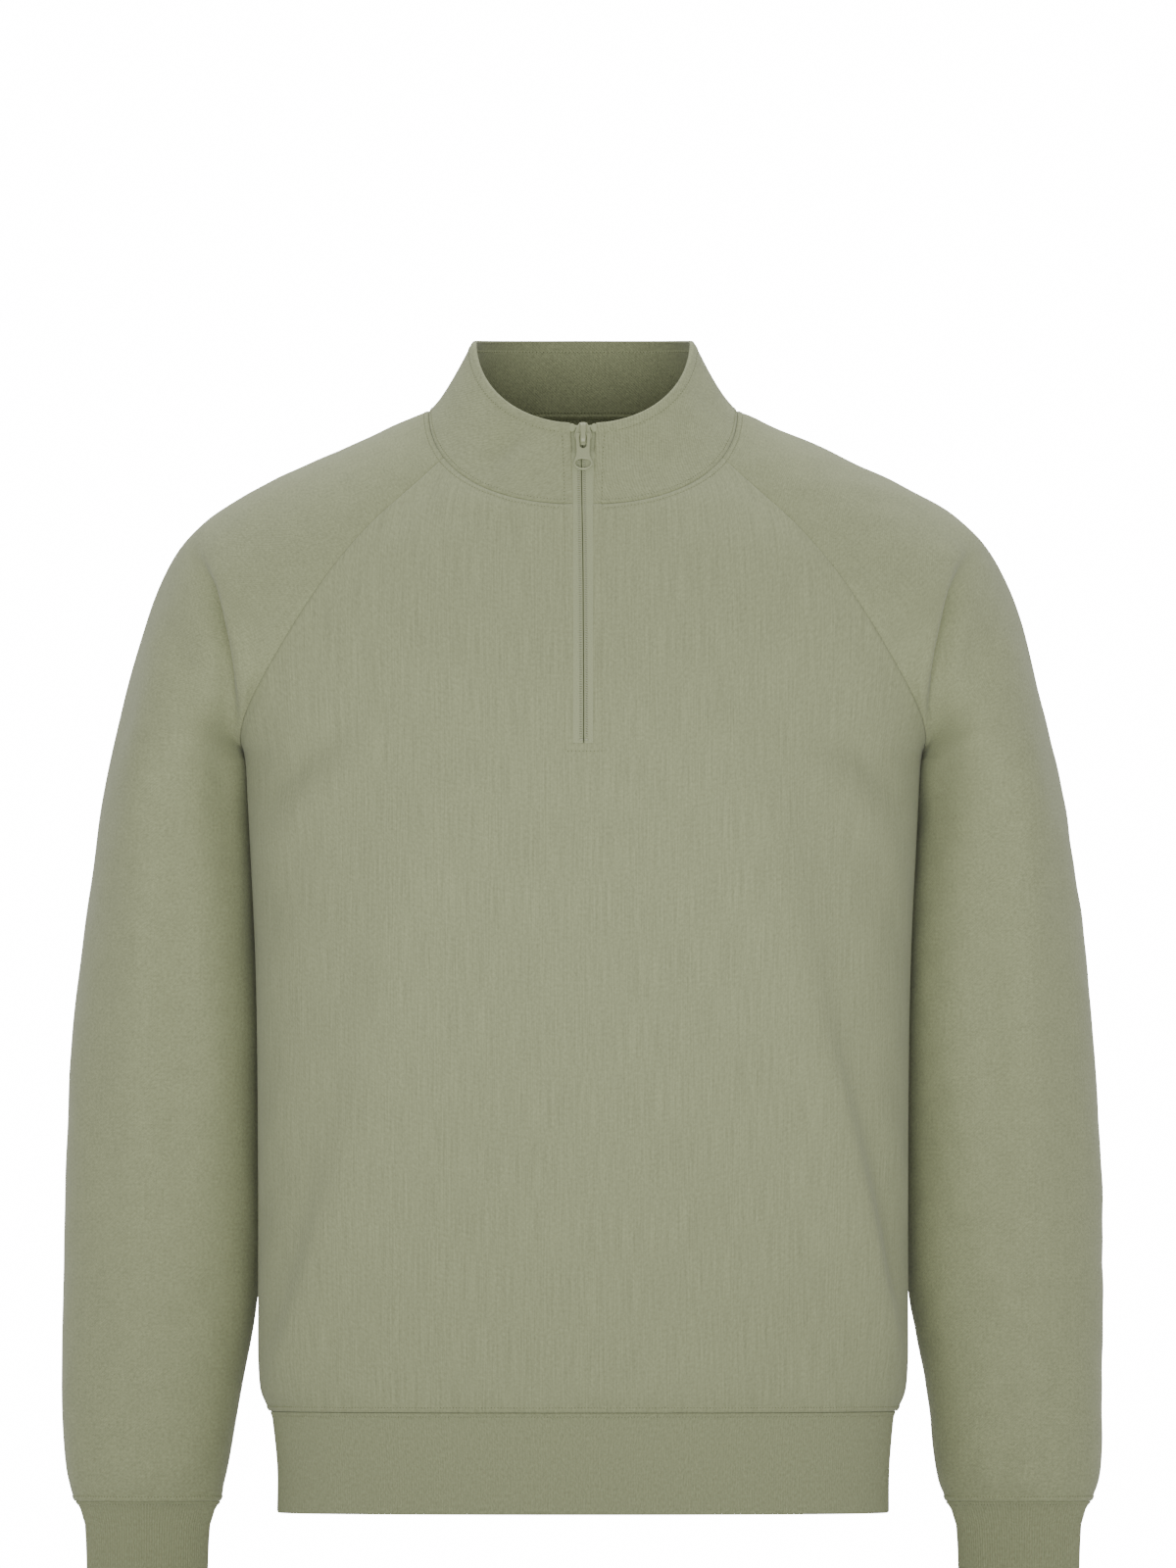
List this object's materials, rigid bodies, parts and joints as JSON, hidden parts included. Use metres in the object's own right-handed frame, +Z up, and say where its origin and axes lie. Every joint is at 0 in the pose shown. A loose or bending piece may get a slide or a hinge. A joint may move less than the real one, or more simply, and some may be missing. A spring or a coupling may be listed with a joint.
{
  "type": "quarter-zip raglan sweatshirt",
  "caption": "Quarter-zip pullover sweatshirt with raglan sleeves, a stand collar, a ribbed hem and ribbed cuffs, filled out and hollow, with a hinged zip pull.",
  "frame": {"origin": "middle of the neck at the height of the shoulder points, where a wearer or a hanger holds the garment up", "axes": "+Z up, -Y the front, +X the wearer's left"},
  "size_m": [0.6808, 0.2577, 0.8281],
  "materials": {
    "body_cloth": "smooth-faced cotton fleece, matt sage green",
    "sleeve_cloth": "smooth-faced cotton fleece, matt sage green",
    "rib": "one-by-one rib knit, matt sage green",
    "zip_tape": "woven tape with a nylon coil, sage green",
    "zip_metal": "satin sage green paint"
  },
  "bodies": {
    "garment": {"front_panel": "body_cloth", "back_panel": "body_cloth", "sleeve_left": "sleeve_cloth", "sleeve_right": "sleeve_cloth", "collar": "body_cloth", "hem_band": "rib", "cuff_left": "rib", "cuff_right": "rib", "zip_tape_left": "zip_tape", "zip_tape_right": "zip_tape", "zip_slider": "zip_metal"},
    "pull": {"pull_tab": "zip_metal"}
  },
  "joints": [
    {"name": "pull_hinge", "type": "hinge", "parent": "garment", "child": "pull", "pos_m": [0, -0.07078, -0.01529], "axis": [-1, 0, 0], "range_deg": [0, 170]}
  ]
}
